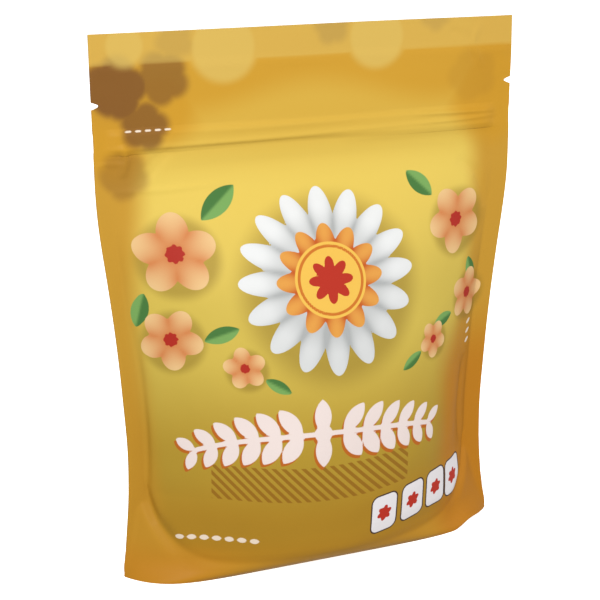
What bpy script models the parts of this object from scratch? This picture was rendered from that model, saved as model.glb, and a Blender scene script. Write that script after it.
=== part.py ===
"""Sealed stand-up zip pouch filled with dried apricots.

Metres, +Z up. The pouch stands on Z = 0, its printed front faces -Y and the
middle of its base is the origin. Two laminate faces are sealed along both
sides and the top, a third film closes the base, and a press-to-close zipper
runs across the header above the fruit.
"""
import math
import random

import bmesh
import bpy
import numpy as np

# Driving sizes of the laminate
FILM_WIDTH = 0.165
STANDING_HEIGHT = 0.203
FILM_WALL = 0.0005
SEAL_GAP = 0.0003
LEFT_SEAL = 0.005
RIGHT_SEAL = 0.007
TOP_SEAL = 0.011
BASE_SEAL = 0.0065

# Half depth of the filled body, from the mid-plane to the face, by height
BODY_DEPTHS = (
    (0.000, 0.0156),
    (0.002, 0.0190),
    (0.004, 0.0222),
    (0.006, 0.0248),
    (0.008, 0.0264),
    (0.010, 0.0273),
    (0.013, 0.0279),
    (0.018, 0.0283),
    (0.027, 0.0288),
    (0.038, 0.0292),
    (0.052, 0.0294),
    (0.070, 0.0281),
    (0.088, 0.0257),
    (0.104, 0.0222),
    (0.118, 0.0177),
    (0.130, 0.0122),
    (0.140, 0.0067),
    (0.149, 0.0021),
    (0.156, 0.0004),
)
# How square the cross-section is: 2 is a parabola, 8 is a flat face with tight ends
BODY_SQUARENESS = (
    (0.000, 7.8),
    (0.002, 4.7),
    (0.004, 3.1),
    (0.006, 2.4),
    (0.008, 2.1),
    (0.011, 2.0),
    (0.018, 2.1),
    (0.027, 2.3),
    (0.038, 2.4),
    (0.070, 2.2),
    (0.120, 2.1),
)
# The right-hand corner of the base is rounder than the left one, up to this height
RIGHT_ROUNDING = 0.24
RIGHT_ROUNDING_TOP = 0.018

# Header: leans back a little, with tear notches and the zipper's low ridge
HEADER_START = 0.145
HEADER_LEAN = math.radians(1.7)
NOTCH_HEIGHT = 0.1786
NOTCH_DEPTH = 0.0028
NOTCH_OPENING = 0.0024
ZIPPER_HEIGHT = 0.1655
RIDGE_DEPTH = 0.00135
RIDGE_TOP_HALF = 0.0022
RIDGE_FOOT_HALF = 0.0046
RIDGE_SQUARENESS = 80.0

# Base film: sealed to the faces along a curve that climbs to the side seals at the
# rise, with a keel that lies on the floor in the middle and climbs towards the ends
GUSSET_RISE = 0.034
GUSSET_CURVE = 6.0
GUSSET_REACH = 0.072
GUSSET_CLEARANCE = 0.0007
GUSSET_HEM = 0.0004
GUSSET_BAND_START = 0.003
GUSSET_BAND_SHARES = (0.0, 0.28, 0.6, 1.0)
GUSSET_FLAT_X = 0.030
GUSSET_FLAT_Y = 0.008
GUSSET_FLAT_SHARE = 0.4
GUSSET_TURN_DEPTH = 0.55
GUSSET_TURN_RISE = 0.30
KEEL_RISE = 0.028
KEEL_CURVE = 3.0

# Zipper profile, from the film inwards
ZIPPER_LENGTH = 0.143
ZIPPER_WEB_HALF = 0.0019
ZIPPER_WEB_OUT = 0.00118
ZIPPER_WEB_IN = 0.00080
ZIPPER_TIP = 0.00048
ARROW_BACK = 0.00010
ARROW_HALF = 0.00055
STEM_HALF = 0.00028
LIP_FRONT = -0.00020
LIP_IN = 0.00060
HOOK_IN = 0.00088
HOOK_OUT = 0.00130

# Dried apricots: layers of three, and the last three on edge where the pouch narrows
FRUIT_COUNT = 21
FRUIT_LENGTH = 0.0370
FRUIT_WIDTH = 0.0300
FRUIT_THICKNESS = 0.0110
FRUIT_SEGMENTS = 12
FRUIT_RINGS = 7
LAYER_SIZE = 3
LAYER_LIFT = 0.0155
FIRST_LAYER = 0.0130
FRUIT_SPACING = 0.0385
LAYER_COUNT = 6
UPRIGHT_LIFT = 0.1165
FRUIT_TILT = 0.10
FRUIT_ROLL = 0.16
FRUIT_SEED = 11
RIM_WAVES = (0.06, 0.04)
PIT_HOLLOW = 0.42
PIT_RADIUS = 0.5
UNDER_HOLLOW = 0.12
SUTURE_DEPTH = 0.16
SUTURE_WIDTH = 0.22
BOW = 0.10

# Mesh rows and columns of the two faces, and the steps that a film's length is summed in
SECTION_STEPS = 240
SECTION_HALVINGS = 40
ROW_HEIGHTS = (
    0.0, 0.003, BASE_SEAL, 0.0095, 0.015, 0.024, GUSSET_RISE, 0.047, 0.062, 0.078, 0.093,
    0.107, 0.119, 0.129, 0.138, 0.147, 0.156,
    ZIPPER_HEIGHT - RIDGE_FOOT_HALF, ZIPPER_HEIGHT - RIDGE_TOP_HALF,
    ZIPPER_HEIGHT + RIDGE_TOP_HALF, ZIPPER_HEIGHT + RIDGE_FOOT_HALF,
    NOTCH_HEIGHT - NOTCH_OPENING / 2, NOTCH_HEIGHT, NOTCH_HEIGHT + NOTCH_OPENING / 2,
    STANDING_HEIGHT - TOP_SEAL, STANDING_HEIGHT,
)
HALF_WIDTH = FILM_WIDTH / 2
NOTCH_TIP = HALF_WIDTH - NOTCH_DEPTH
INNER_COLUMNS = (0.0, 0.0095, 0.019, 0.0285, 0.038, 0.047, 0.055, 0.062, 0.068, GUSSET_REACH)
LEFT_COLUMNS = INNER_COLUMNS[1:] + (HALF_WIDTH - LEFT_SEAL, NOTCH_TIP, HALF_WIDTH)
RIGHT_COLUMNS = INNER_COLUMNS + (HALF_WIDTH - RIGHT_SEAL, NOTCH_TIP, HALF_WIDTH)
COLUMNS = tuple(-s for s in reversed(LEFT_COLUMNS)) + RIGHT_COLUMNS
SEAM_HALF = SEAL_GAP / 2 + FILM_WALL

COLOURS = {
    "printed_film": (0.76, 0.49, 0.11),
    "base_film": (0.60, 0.32, 0.06),
    "zipper_plastic": (0.86, 0.84, 0.76),
    "dried_fruit": (0.78, 0.28, 0.045),
}


def clear_scene():
    for old in list(bpy.data.objects):
        bpy.data.objects.remove(old, do_unlink=True)


def material(name, roughness):
    made = bpy.data.materials.get(name) or bpy.data.materials.new(name)
    made.use_nodes = True
    shader = made.node_tree.nodes["Principled BSDF"]
    shader.inputs["Base Color"].default_value = (*COLOURS[name], 1.0)
    shader.inputs["Roughness"].default_value = roughness
    shader.inputs["Metallic"].default_value = 0.0
    return made


def smooth_value(points, where):
    """Read a smooth curve through points, level before the first and after the last."""
    xs = np.array([p[0] for p in points])
    ys = np.array([p[1] for p in points])
    slopes = np.gradient(ys, xs)
    slopes[0] = slopes[-1] = 0.0
    where = min(max(where, xs[0]), xs[-1])
    i = min(int(np.searchsorted(xs, where, side="right")) - 1, len(xs) - 2)
    width = xs[i + 1] - xs[i]
    t = (where - xs[i]) / width
    ease = t * t * (3 - 2 * t)
    rise = t * (1 - t) * (1 - t) * width * slopes[i]
    fall = t * t * (t - 1) * width * slopes[i + 1]
    return float(ys[i] + (ys[i + 1] - ys[i]) * ease + rise + fall)


def ridge_share(height):
    """1 on the zipper's ridge, 0 away from it."""
    off = abs(height - ZIPPER_HEIGHT)
    t = (RIDGE_FOOT_HALF - off) / (RIDGE_FOOT_HALF - RIDGE_TOP_HALF)
    return min(max(t, 0.0), 1.0)


def seal_width(side):
    return RIGHT_SEAL if side > 0 else LEFT_SEAL


def section(height, side):
    """Half cross-section of a face: x and outward depth by distance along the film."""
    body = smooth_value(BODY_DEPTHS, height)
    power = smooth_value(BODY_SQUARENESS, height)
    if side > 0:
        power *= 1 - RIGHT_ROUNDING * max(1 - height / RIGHT_ROUNDING_TOP, 0.0)
    if ridge_share(height) > 0.0:
        body = RIDGE_DEPTH * ridge_share(height)
        power = RIDGE_SQUARENESS
    flange = seal_width(side) * min(height / GUSSET_RISE, 1.0)
    length = HALF_WIDTH - flange
    u = np.linspace(0.0, 1.0, SECTION_STEPS + 1)
    low, high = length / 2, length
    for _ in range(SECTION_HALVINGS):
        reach = (low + high) / 2
        steps = np.hypot(np.diff(u * reach), np.diff(body * (1 - u ** power)))
        if steps.sum() > length:
            high = reach
        else:
            low = reach
    along = np.concatenate([[0.0], np.cumsum(steps)])
    along *= length / along[-1]
    xs = np.append(u * reach, reach + flange)
    depths = np.append(body * (1 - u ** power), 0.0)
    return np.append(along, HALF_WIDTH), xs, depths


def lean(height):
    return max(height - HEADER_START, 0.0) * math.tan(HEADER_LEAN)


def notch_cut(s):
    """How far a tear notch's tip draws a column in."""
    if s == HALF_WIDTH:
        return NOTCH_DEPTH
    if s == NOTCH_TIP:
        return NOTCH_DEPTH / 2
    return 0.0


def face_grid():
    """Outer surface of the front face, rows by height and columns along the film."""
    grid = np.zeros((len(ROW_HEIGHTS), len(COLUMNS), 3))
    for row, height in enumerate(ROW_HEIGHTS):
        sides = {-1: section(height, -1), 1: section(height, 1)}
        for col, s in enumerate(COLUMNS):
            along, xs, depths = sides[1 if s > 0 else -1]
            x = float(np.interp(abs(s), along, xs))
            depth = SEAM_HALF + float(np.interp(abs(s), along, depths))
            if height == NOTCH_HEIGHT:
                x -= notch_cut(abs(s))
            grid[row, col] = (math.copysign(x, s), -depth, height)
    return grid


def grid_normals(grid):
    """Unit normals of a grid of points, rows going up and columns going right."""
    across = np.gradient(grid, axis=1)
    up = np.gradient(grid, axis=0)
    normals = np.cross(across, up)
    return normals / np.linalg.norm(normals, axis=2, keepdims=True)


def lowered(points, grid, height):
    """Slide inset points down along the film's lowest row of faces to a height."""
    rise = grid[1] - grid[0]
    share = (points[..., 2] - height) / rise[..., 2]
    return points - rise * share[..., None]


def film_solid(name, outer, inner, finish):
    """Closed thin solid between two grids of points that face each other."""
    rows, cols = outer.shape[:2]
    shape = bmesh.new()
    front = [[shape.verts.new(outer[r, c]) for c in range(cols)] for r in range(rows)]
    back = [[shape.verts.new(inner[r, c]) for c in range(cols)] for r in range(rows)]
    for r in range(rows - 1):
        for c in range(cols - 1):
            shape.faces.new((front[r][c], front[r][c + 1], front[r + 1][c + 1], front[r + 1][c]))
            shape.faces.new((back[r][c], back[r + 1][c], back[r + 1][c + 1], back[r][c + 1]))
    for c in range(cols - 1):
        shape.faces.new((front[0][c], back[0][c], back[0][c + 1], front[0][c + 1]))
        shape.faces.new((front[-1][c], front[-1][c + 1], back[-1][c + 1], back[-1][c]))
    for r in range(rows - 1):
        shape.faces.new((front[r][0], front[r + 1][0], back[r + 1][0], back[r][0]))
        shape.faces.new((front[r][-1], back[r][-1], back[r + 1][-1], front[r + 1][-1]))
    return finished_object(name, shape, finish)


def finished_object(name, shape, finish):
    bmesh.ops.recalc_face_normals(shape, faces=shape.faces)
    mesh = bpy.data.meshes.new(name)
    shape.to_mesh(mesh)
    shape.free()
    mesh.materials.append(finish)
    mesh.shade_smooth()
    mesh.set_sharp_from_angle(angle=math.radians(35))
    made = bpy.data.objects.new(name, mesh)
    bpy.context.collection.objects.link(made)
    return made


def leaned(grid):
    """Tip the header's points back as one."""
    tipped = grid.copy()
    for point in tipped.reshape(-1, 3):
        point[1] += lean(point[2])
    return tipped


def make_faces(grid):
    """The printed front face and the back face, which mirrors it."""
    finish = material("printed_film", 0.35)
    inset = grid - grid_normals(grid) * FILM_WALL
    inset[0] = lowered(inset[0], grid, 0.0)
    inset[-1, :, 2] = STANDING_HEIGHT
    inset[:, :, 1] = np.minimum(inset[:, :, 1], -SEAL_GAP / 2)
    front = film_solid("front_face", leaned(grid), leaned(inset), finish)
    mirror = np.array([1.0, -1.0, 1.0])
    back = film_solid("back_face", leaned(grid * mirror), leaned(inset * mirror), finish)
    return [front, back]


def base_seal_height(s):
    """Top of the seal between a face and the base film, which climbs towards the sides."""
    share = abs(s) / (HALF_WIDTH - seal_width(s))
    return BASE_SEAL + (GUSSET_RISE - BASE_SEAL) * share ** GUSSET_CURVE


def point_on_face(grid, normals, col, height, inset):
    """Point behind the front face at one column, read along the face's own rows."""
    heights = grid[:, col, 2]
    point = np.array([np.interp(height, heights, grid[:, col, axis]) for axis in range(3)])
    normal = np.array([np.interp(height, heights, normals[:, col, axis]) for axis in range(3)])
    return point - normal / np.linalg.norm(normal) * inset


def fold_directions(grid):
    """Mean of the directions before and after each row, so that both sides of a fold count alike."""
    steps = np.diff(grid, axis=0)
    steps /= np.linalg.norm(steps, axis=2, keepdims=True)
    return np.concatenate([steps[:1], steps]) + np.concatenate([steps, steps[-1:]])


def make_base_film(grid):
    """Base film: sealed inside both faces at their lower edges, and boat-shaped between."""
    normals = grid_normals(grid)
    inset = 2 * FILM_WALL + GUSSET_CLEARANCE
    strip = []
    for c, s in enumerate(COLUMNS):
        if abs(s) > GUSSET_REACH:
            continue
        top = base_seal_height(s)
        hem = lowered(point_on_face(grid, normals, c, 0.0, inset), grid[:, c], GUSSET_HEM)
        band = []
        for share in GUSSET_BAND_SHARES:
            height = GUSSET_BAND_START + (top - GUSSET_BAND_START) * share
            band.append(point_on_face(grid, normals, c, height, inset))
        high = band[-1]
        share = max(abs(s) - GUSSET_FLAT_X, 0.0) / (GUSSET_REACH - GUSSET_FLAT_X)
        keel = KEEL_RISE * share ** KEEL_CURVE
        turn_height = keel + (high[2] - keel) * GUSSET_TURN_RISE
        turn = np.array([high[0], high[1] * GUSSET_TURN_DEPTH, turn_height])
        flat = -min(GUSSET_FLAT_Y, abs(high[1]) * GUSSET_FLAT_SHARE)
        floor = np.array([high[0], flat, keel])
        front_half = [hem] + band + [turn, floor]
        back_half = [point * np.array([1.0, -1.0, 1.0]) for point in reversed(front_half)]
        strip.append(front_half + back_half)
    under = np.array(strip).transpose(1, 0, 2)
    upward = np.cross(np.gradient(under, axis=1), fold_directions(under))
    upward /= np.linalg.norm(upward, axis=2, keepdims=True)
    over = under + upward * FILM_WALL
    over[0, :, 2] = under[0, :, 2]
    over[-1, :, 2] = under[-1, :, 2]
    return film_solid("base_film", under, over, material("base_film", 0.40))


def extruded_strip(name, outline, finish):
    """Zipper strip: an outline in depth and height, drawn out along X."""
    shape = bmesh.new()
    ends = []
    for x in (-ZIPPER_LENGTH / 2, ZIPPER_LENGTH / 2):
        ring = []
        for depth, rise in outline:
            height = ZIPPER_HEIGHT + rise
            ring.append(shape.verts.new((x, depth + lean(height), height)))
        ends.append(ring)
    shape.faces.new(ends[0])
    shape.faces.new(list(reversed(ends[1])))
    count = len(outline)
    for i in range(count):
        j = (i + 1) % count
        shape.faces.new((ends[0][i], ends[1][i], ends[1][j], ends[0][j]))
    return finished_object(name, shape, finish)


def make_zipper():
    """Press-to-close zipper: an arrow rib on the front strip, two hooked lips on the back."""
    finish = material("zipper_plastic", 0.45)
    rib_half = [
        (-ZIPPER_WEB_OUT, -ZIPPER_WEB_HALF),
        (-ZIPPER_WEB_IN, -ZIPPER_WEB_HALF),
        (-ZIPPER_WEB_IN, -STEM_HALF),
        (ARROW_BACK, -STEM_HALF),
        (ARROW_BACK, -ARROW_HALF),
        (ZIPPER_TIP, -STEM_HALF / 2),
    ]
    lips_half = [
        (ZIPPER_WEB_OUT, -ZIPPER_WEB_HALF),
        (ZIPPER_WEB_IN, -ZIPPER_WEB_HALF),
        (ZIPPER_WEB_IN, -HOOK_OUT),
        (-ZIPPER_TIP, -HOOK_OUT),
        (-ZIPPER_TIP, -LIP_IN),
        (LIP_FRONT, -LIP_IN),
        (LIP_FRONT, -HOOK_IN),
        (ZIPPER_WEB_IN, -HOOK_IN),
    ]
    strips = []
    for name, half in (("zipper_rib_strip", rib_half), ("zipper_groove_strip", lips_half)):
        outline = half + [(depth, -rise) for depth, rise in reversed(half)]
        strips.append(extruded_strip(name, outline, finish))
    return strips


def make_fruit_mesh(rng):
    """Dried apricot: a flat round with a wavy rim, a pit hollow and a suture crease."""
    turns = [rng.uniform(0.0, 2 * math.pi) for _ in range(3)]
    shape = bmesh.new()
    bmesh.ops.create_uvsphere(shape, u_segments=FRUIT_SEGMENTS, v_segments=FRUIT_RINGS, radius=1.0)
    for vert in shape.verts:
        x, y, z = vert.co
        angle = math.atan2(y, x)
        reach = math.hypot(x, y)
        rim = 1 - RIM_WAVES[0] * (1 + math.sin(2 * angle + turns[0])) * reach
        rim -= RIM_WAVES[1] * (1 + math.sin(3 * angle + turns[1]))
        depth = PIT_HOLLOW if z > 0 else UNDER_HOLLOW
        hollow = depth * math.exp(-(reach / PIT_RADIUS) ** 2)
        crease = SUTURE_DEPTH * math.exp(-(y / SUTURE_WIDTH) ** 2) * reach
        bow = BOW * math.sin(angle + turns[2]) * reach
        height = z * (1 - hollow - crease) + bow * (1 - abs(z))
        vert.co = (
            x * rim * FRUIT_LENGTH / 2,
            y * rim * FRUIT_WIDTH / 2,
            height * FRUIT_THICKNESS / 2,
        )
    return shape


def make_fruit():
    """Six level layers of three, and three more standing on edge where the pouch narrows."""
    rng = random.Random(FRUIT_SEED)
    finish = material("dried_fruit", 0.55)
    made = []
    for number in range(FRUIT_COUNT):
        layer, place = divmod(number, LAYER_SIZE)
        side = place - (LAYER_SIZE - 1) / 2
        name = f"dried_apricot_{number + 1:02d}"
        fruit = finished_object(name, make_fruit_mesh(rng), finish)
        tilt = rng.uniform(-FRUIT_TILT, FRUIT_TILT)
        turn = rng.uniform(-FRUIT_TILT, FRUIT_TILT)
        if layer < LAYER_COUNT:
            roll = side * FRUIT_ROLL * (-1) ** (layer + 1)
            fruit.rotation_euler = (tilt, roll, turn)
            lift = FIRST_LAYER + LAYER_LIFT * layer
            fruit.location = (side * FRUIT_SPACING, 0.0, lift)
        else:
            fruit.rotation_euler = (math.pi / 2 + tilt, turn, 0.0)
            fruit.location = (side * FRUIT_SPACING, 0.0, UPRIGHT_LIFT)
        made.append(fruit)
    return made


def main():
    clear_scene()
    root = bpy.data.objects.new("pouch", None)
    bpy.context.collection.objects.link(root)
    grid = face_grid()
    pieces = make_faces(grid)
    pieces.append(make_base_film(grid))
    pieces += make_zipper()
    pieces += make_fruit()
    for piece in pieces:
        piece.parent = root


main()
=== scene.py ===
import math

import bmesh
import bpy
import numpy as np
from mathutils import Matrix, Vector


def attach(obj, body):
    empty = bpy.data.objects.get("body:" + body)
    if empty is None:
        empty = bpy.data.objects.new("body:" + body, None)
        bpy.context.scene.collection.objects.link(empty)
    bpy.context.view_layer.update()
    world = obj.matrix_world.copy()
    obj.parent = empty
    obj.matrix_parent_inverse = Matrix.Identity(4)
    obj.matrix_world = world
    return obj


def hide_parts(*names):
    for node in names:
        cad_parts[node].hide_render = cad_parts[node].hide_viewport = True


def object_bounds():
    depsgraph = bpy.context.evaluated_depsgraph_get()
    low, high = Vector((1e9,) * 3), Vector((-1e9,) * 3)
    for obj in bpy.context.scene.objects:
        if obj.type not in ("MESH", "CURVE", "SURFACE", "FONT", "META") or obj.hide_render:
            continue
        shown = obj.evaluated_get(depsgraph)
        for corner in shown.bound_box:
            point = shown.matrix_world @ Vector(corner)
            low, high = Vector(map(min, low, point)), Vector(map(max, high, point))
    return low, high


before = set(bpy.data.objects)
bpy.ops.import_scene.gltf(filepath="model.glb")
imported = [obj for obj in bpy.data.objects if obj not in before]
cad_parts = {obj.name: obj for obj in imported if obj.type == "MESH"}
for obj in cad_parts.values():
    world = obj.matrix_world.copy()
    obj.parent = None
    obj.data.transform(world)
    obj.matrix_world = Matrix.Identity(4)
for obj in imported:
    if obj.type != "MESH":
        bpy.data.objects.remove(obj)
cad_low, cad_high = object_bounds()

# Front face: reverse-printed laminate of polyester and polyethylene, formed flat and then
# heat-sealed to the back face at its sides and top and to the base film below. It stays flat
# along those seals and bulges over the fruit between them.
HALF_WIDTH = float(cad_high.x)
STANDING_HEIGHT = float(cad_high.z)
FILM_WALL = 0.00025
SEAM_HALF = 0.00030
SEAM_CLEARANCE = 0.00004
LEFT_SEAL = 0.005
RIGHT_SEAL = 0.007
TOP_SEAL = 0.011
BASE_SEAL = 0.0065
BASE_SEAL_RISE = 0.034
BASE_SEAL_CURVE = 6.0
BASE_ROOM = 0.0006
BODY_DEPTHS = (
    (0.000, 0.0156), (0.002, 0.0190), (0.004, 0.0222), (0.006, 0.0248), (0.008, 0.0264),
    (0.010, 0.0273), (0.013, 0.0279), (0.018, 0.0283), (0.027, 0.0288), (0.038, 0.0292),
    (0.052, 0.0294), (0.070, 0.0281), (0.088, 0.0257), (0.104, 0.0222), (0.118, 0.0177),
    (0.130, 0.0122), (0.140, 0.0067), (0.149, 0.0021), (0.156, 0.0004),
)
BODY_SQUARENESS = (
    (0.000, 7.8), (0.002, 4.7), (0.004, 3.1), (0.006, 2.4), (0.008, 2.1), (0.011, 2.0),
    (0.018, 2.1), (0.027, 2.3), (0.038, 2.4), (0.070, 2.2), (0.120, 2.1),
)
RIGHT_ROUNDING = 0.24
RIGHT_ROUNDING_TOP = 0.018
HEADER_START = 0.145
HEADER_LEAN = math.radians(1.7)
NOTCH_HEIGHT = 0.1786
NOTCH_DEPTH = 0.0028
NOTCH_HALF = 0.0013
NOTCH_DRAW = 0.007
NOTCH_ROUNDNESS = 1.6
NOTCH_ROWS = 9
NOTCH_ROW_GAP = 0.0003
ZIPPER_HEIGHT = 0.1655
RIDGE_DEPTH = 0.00112
RIDGE_TOP_HALF = 0.0022
RIDGE_FOOT_HALF = 0.0045
RIDGE_SQUARENESS = 44.0
CORNER_LIFTS = ((0.056, 0.0), (0.0665, 0.0027), (0.0745, 0.0023), (0.0825, 0.0015))
CORNER_LIFT_TOP = 0.020
ROW_STEP = 0.00078
FINE_ROW_STEP = 0.00032
FINE_ROWS = (0.1590, 0.1710)
COLUMNS = 236
SECTION_POINTS = 241
SECTION_HALVINGS = 40
FOLD_SOFTNESS = 0.0011
SHARP_ANGLE = math.radians(50)
PRINT_LENGTH = 212.6
FRONT_SEED = 5


def smooth_values(points, where):
    """Read a smooth curve through points, level before the first and after the last."""
    xs, ys = np.array(points).T
    slopes = np.gradient(ys, xs)
    slopes[0] = slopes[-1] = 0.0
    where = np.clip(where, xs[0], xs[-1])
    i = np.clip(np.searchsorted(xs, where, side="right") - 1, 0, len(xs) - 2)
    width = xs[i + 1] - xs[i]
    t = (where - xs[i]) / width
    ease = t * t * (3 - 2 * t)
    rise = t * (1 - t) ** 2 * width * slopes[i]
    fall = t * t * (t - 1) * width * slopes[i + 1]
    return ys[i] + (ys[i + 1] - ys[i]) * ease + rise + fall


def eased(value, start, end):
    """0 before start and 1 after end, with a soft step between."""
    t = np.clip((value - start) / (end - start), 0.0, 1.0)
    return t * t * (3 - 2 * t)


def seal_width(s):
    return np.where(s > 0, RIGHT_SEAL, LEFT_SEAL)


def base_seal_top(s):
    share = np.clip(np.abs(s) / (HALF_WIDTH - seal_width(s)), 0.0, 1.0)
    return BASE_SEAL + (BASE_SEAL_RISE - BASE_SEAL) * share ** BASE_SEAL_CURVE


def half_section(height, side):
    """Film distance, x and outward depth from the middle to one side of a face."""
    body = float(smooth_values(BODY_DEPTHS, height))
    power = float(smooth_values(BODY_SQUARENESS, height))
    if side > 0:
        power *= 1 - RIGHT_ROUNDING * max(1 - height / RIGHT_ROUNDING_TOP, 0.0)
    off = abs(height - ZIPPER_HEIGHT)
    if off < RIDGE_FOOT_HALF:
        body += (RIDGE_DEPTH - body) * float(1 - eased(off, RIDGE_TOP_HALF, RIDGE_FOOT_HALF))
        power = RIDGE_SQUARENESS
    flange = float(seal_width(side)) * min(height / BASE_SEAL_RISE, 1.0)
    length = HALF_WIDTH - flange
    u = np.linspace(0.0, 1.0, SECTION_POINTS)
    low, high = length / 2, length
    for _ in range(SECTION_HALVINGS):
        reach = (low + high) / 2
        steps = np.hypot(np.diff(u * reach), np.diff(body * (1 - u ** power)))
        low, high = (low, reach) if steps.sum() > length else (reach, high)
    along = np.append(np.append(0.0, np.cumsum(steps)) * length / steps.sum(), HALF_WIDTH)
    return along, np.append(u * reach, reach + flange), np.append(body * (1 - u ** power), 0.0)


def film_rows():
    """Row heights: even steps, with finer rows through the zipper ridge and the tear notches."""
    low, high = FINE_ROWS
    below = np.linspace(0.0, low, round(low / ROW_STEP))
    fine = np.arange(low + FINE_ROW_STEP, high, FINE_ROW_STEP)
    above = np.linspace(high, STANDING_HEIGHT, round((STANDING_HEIGHT - high) / ROW_STEP))
    notch = NOTCH_HEIGHT + NOTCH_HALF * np.linspace(-1.0, 1.0, NOTCH_ROWS)
    above = above[np.abs(above - NOTCH_HEIGHT) > NOTCH_HALF + NOTCH_ROW_GAP]
    return np.sort(np.concatenate([below, fine, above, notch]))


def film_form(rows, columns):
    """The face without its creases: film distance, x, depth and height at every grid point."""
    off = np.abs(rows - NOTCH_HEIGHT) / NOTCH_HALF
    cut = NOTCH_DEPTH * np.clip(1 - off ** NOTCH_ROUNDNESS, 0.0, 1.0)
    drawn = np.clip((np.abs(columns) - (HALF_WIDTH - NOTCH_DRAW)) / NOTCH_DRAW, 0.0, 1.0)
    s = columns[None, :] - np.sign(columns)[None, :] * cut[:, None] * drawn[None, :]
    x = np.zeros_like(s)
    depth = np.zeros_like(s)
    for row, height in enumerate(rows):
        for side in (-1, 1):
            here = s[row] * side >= 0
            along, xs, depths = half_section(height, side)
            x[row, here] = side * np.interp(np.abs(s[row, here]), along, xs)
            depth[row, here] = np.interp(np.abs(s[row, here]), along, depths)
    step = columns[1] - columns[0]
    reach = int(3 * FOLD_SOFTNESS / step) + 1
    kernel = np.exp(-0.5 * (np.arange(-reach, reach + 1) * step / FOLD_SOFTNESS) ** 2)
    kernel /= kernel.sum()
    wide = np.pad(depth, ((0, 0), (reach, reach)), mode="reflect", reflect_type="odd")
    depth = np.array([np.convolve(line, kernel, mode="valid") for line in wide])
    fade = np.clip(1 - rows[:, None] / CORNER_LIFT_TOP, 0.0, 1.0)
    z = rows[:, None] + smooth_values(CORNER_LIFTS, s) * fade
    return s, x, depth, z


CREASE_FADE = 0.6


def crease(s, z, path, width):
    """1 along a line through points and 0 a few widths off it, fading out at both ends."""
    points = np.array(path)
    lengths = np.hypot(*np.diff(points, axis=0).T)
    starts = np.append(0.0, np.cumsum(lengths))
    best = np.full_like(s, 1e9)
    where = np.zeros_like(s)
    for (s0, z0), (s1, z1), length, start in zip(points[:-1], points[1:], lengths, starts):
        t = ((s - s0) * (s1 - s0) + (z - z0) * (z1 - z0)) / length ** 2
        t = np.clip(t, 0.0, 1.0)
        gap = np.hypot(s - s0 - t * (s1 - s0), z - z0 - t * (z1 - z0))
        nearer = gap < best
        best = np.where(nearer, gap, best)
        where = np.where(nearer, (start + t * length) / starts[-1], where)
    fade = np.sin(np.pi * np.clip(where, 0.0, 1.0)) ** CREASE_FADE
    return np.exp(-(best / width) ** 2) * fade


def waves(s, z, seed, count, shortest, longest):
    """Soft irregular swelling between -1 and 1, from a few plane waves."""
    rng = np.random.default_rng(seed)
    total = np.zeros_like(s)
    for _ in range(count):
        turn = rng.uniform(0.0, math.pi)
        length = rng.uniform(shortest, longest)
        phase = rng.uniform(0.0, 2 * math.pi)
        total += np.sin(2 * math.pi * (s * math.cos(turn) + z * math.sin(turn)) / length + phase)
    return total / count


SWAY_HEIGHTS = (0.172, 0.190)
SWAY_DEPTH = 0.0007
SWAY_LENGTH = 0.019
SWAY_PHASE = 0.6
SWAY_BEAT = 0.047


def header_sway(s, z):
    """How far both films of the header swing back together."""
    beat = 0.6 + 0.4 * np.sin(s / SWAY_BEAT)
    return eased(z, *SWAY_HEIGHTS) * SWAY_DEPTH * np.sin(s / SWAY_LENGTH + SWAY_PHASE) * beat


SEAM_BLEND = 0.006
EDGE_BLEND = 0.003
TUCKED_CORNER = (0.055, 0.069)
BASE_LINE_TOP = 0.040
BASE_LINE = (-0.00022, 0.0016)
CORNER_TUCK = (-0.0016, 0.0042)
SIDE_LINE = (-0.00025, 0.0013)
SIDE_LINE_START = (0.030, 0.040)
SIDE_LINE_END = (0.125, 0.150)
TOP_LINE = (0.00022, 0.0022)
TOP_LINE_HEIGHT = 0.1905
SWELLING_END = (0.140, 0.156)
SWELLING = (0.00050, 7, 0.028, 0.070)
RUMPLE = (0.00010, 9, 0.009, 0.020)
HEADER_BLEND = (0.150, 0.160)
HEADER_SWELLING = (0.00018, 7, 0.012, 0.040)


def pressed_line(off, depth, width):
    """Line that stands out, or sinks where its depth is below 0, and dies away in a few widths."""
    return depth * np.exp(-(off / width) ** 2)


def film_relief(s, z, creases, seed):
    """Outward relief of a face: lines of the seals, swelling, and listed creases."""
    from_side = HALF_WIDTH - seal_width(s) - np.abs(s)
    from_base = z - base_seal_top(s)
    free = np.minimum(np.minimum(from_side, from_base), STANDING_HEIGHT - TOP_SEAL - z)
    free = eased(free, 0.0, SEAM_BLEND)
    edge = np.minimum(HALF_WIDTH - np.abs(s), np.minimum(z, STANDING_HEIGHT - z))
    edge = eased(edge, 0.0, EDGE_BLEND)
    corner = eased(np.abs(s), *TUCKED_CORNER)
    relief = pressed_line(from_base, *BASE_LINE) * (1 - corner)
    relief += pressed_line(from_base, *CORNER_TUCK) * corner
    relief *= z < BASE_LINE_TOP
    side_line = eased(z, *SIDE_LINE_START) * (1 - eased(z, *SIDE_LINE_END))
    relief += pressed_line(from_side, *SIDE_LINE) * side_line
    relief += pressed_line(z - TOP_LINE_HEIGHT, *TOP_LINE)
    body = free * (1 - eased(z, *SWELLING_END))
    for number, (depth, *kind) in enumerate((SWELLING, RUMPLE)):
        relief += body * depth * waves(s, z, seed + number, *kind)
    depth, *kind = HEADER_SWELLING
    header = free * eased(z, *HEADER_BLEND)
    relief += header * depth * (1 + waves(s, z, seed + 2, *kind))
    for path, width, depth in creases:
        relief += depth * crease(s, z, path, width)
    return relief * edge


def grid_normals(grid):
    normals = np.cross(np.gradient(grid, axis=1), np.gradient(grid, axis=0))
    return normals / np.linalg.norm(normals, axis=2, keepdims=True)


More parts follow.
